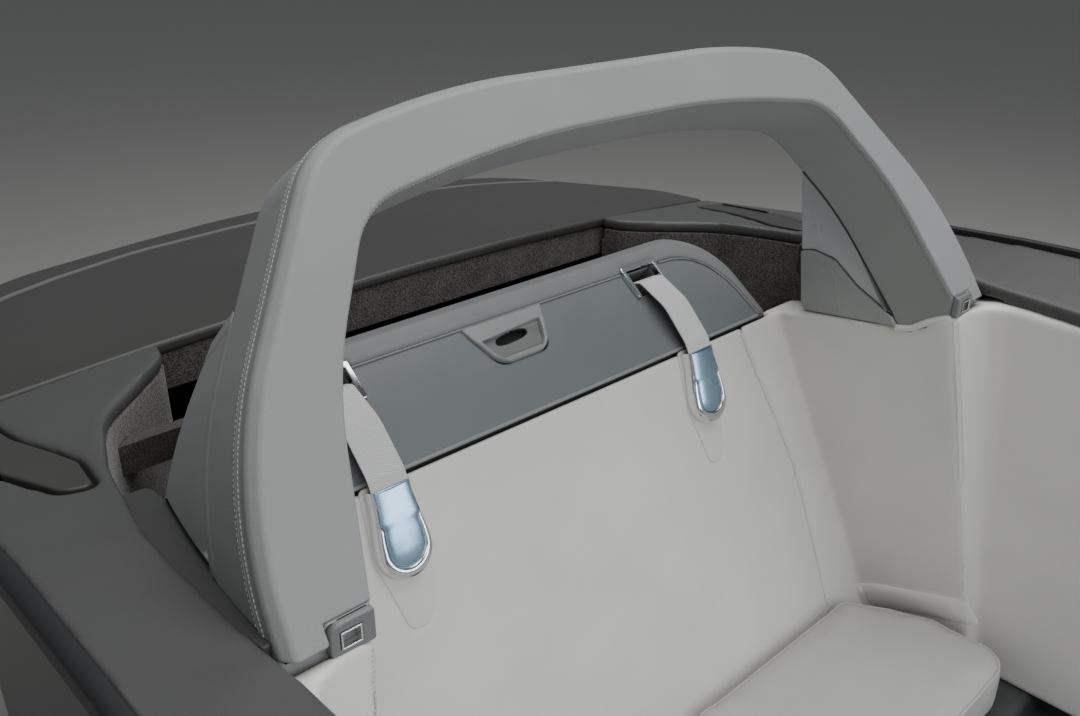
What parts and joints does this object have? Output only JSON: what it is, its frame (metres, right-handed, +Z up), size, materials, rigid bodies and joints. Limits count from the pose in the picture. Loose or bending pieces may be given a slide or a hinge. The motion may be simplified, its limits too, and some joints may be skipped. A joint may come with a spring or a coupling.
{
  "type": "rear cockpit section of a roadster, with its roll-over hoop",
  "caption": "Trimmed rear cockpit section of an open two-seat car: leather-wrapped hoop with fins, strapped luggage hatch, pads and hinged deck lid on a sheet tub.",
  "frame": {"origin": "under the middle of the section, on the surface that its floor pan stands on", "axes": "+Z up, +Y to the car's rear, +X across the car to its left-hand side; pieces named right are on +X, the right of someone who looks to the rear over the cockpit, and the section is symmetric about X = 0"},
  "size_m": [1.38, 1.3422, 1.0418],
  "materials": {
    "hoop_leather": "smooth grained leather, satin",
    "cream_leather": "smooth grained leather, satin",
    "band_leather": "smooth grained leather, satin",
    "deck_leather": "smooth grained leather, satin",
    "carpet": "short cut pile",
    "webbing": "woven webbing",
    "chrome": "polished",
    "satin_metal": "satin",
    "grey_plastic": "fine grain",
    "black_rubber": "matt",
    "tub_paint": "satin paint"
  },
  "bodies": {
    "tub": {"roll_hoop": "hoop_leather", "fin_left": "hoop_leather", "fin_right": "hoop_leather", "fin_trim_left": "hoop_leather", "fin_trim_right": "hoop_leather", "fin_cover_left": "grey_plastic", "fin_cover_right": "grey_plastic", "foot_caps": "grey_plastic", "cap_lips": "chrome", "backrest": "cream_leather", "dock_pads": "cream_leather", "pad_left": "cream_leather", "pad_right": "cream_leather", "tunnel_cover": "carpet", "side_trim_left": "cream_leather", "side_trim_right": "cream_leather", "quarter_deck_left": "deck_leather", "quarter_deck_right": "deck_leather", "waist_seals": "black_rubber", "fin_bases": "black_rubber", "well_lining_left": "carpet", "well_lining_right": "carpet", "lid_brackets": "tub_paint", "floor_pan": "tub_paint", "tub_wall": "tub_paint", "bulkhead": "tub_paint", "seat_shelf": "tub_paint", "well_floor": "carpet", "hatch_beam": "tub_paint", "hoop_carriers": "tub_paint"},
    "lid": {"deck_lid": "deck_leather", "lid_carpet": "carpet", "lid_knuckles": "tub_paint"},
    "hatch": {"hatch_core": "grey_plastic", "hatch_band": "band_leather", "hatch_roll": "hoop_leather", "hatch_handle": "grey_plastic", "strap_frames": "chrome", "strap_left": "webbing", "strap_right": "webbing", "clasps": "chrome", "clasp_faces": "satin_metal"},
    "flap_left": {"side_flap_left": "deck_leather"},
    "flap_right": {"side_flap_right": "deck_leather"}
  },
  "joints": [
    {"name": "lid_hinge", "type": "hinge", "parent": "tub", "child": "lid", "pos_m": [0, 0.63089, 0.668], "axis": [-1, 0, 0], "range_deg": [0, 60]},
    {"name": "hatch_hinge", "type": "hinge", "parent": "tub", "child": "hatch", "pos_m": [0, 0.10289, 0.674], "axis": [-1, 0, 0], "range_deg": [0, 70]},
    {"name": "flap_hinge_right", "type": "hinge", "parent": "tub", "child": "flap_right", "pos_m": [0.6336, 0.05149, 0.70051], "axis": [0.1417, 0.9852, -0.0963], "range_deg": [0, 80]},
    {"name": "flap_hinge_left", "type": "hinge", "parent": "tub", "child": "flap_left", "pos_m": [-0.6336, 0.05149, 0.70051], "axis": [0.1417, -0.9852, 0.0963], "range_deg": [0, 80]}
  ]
}
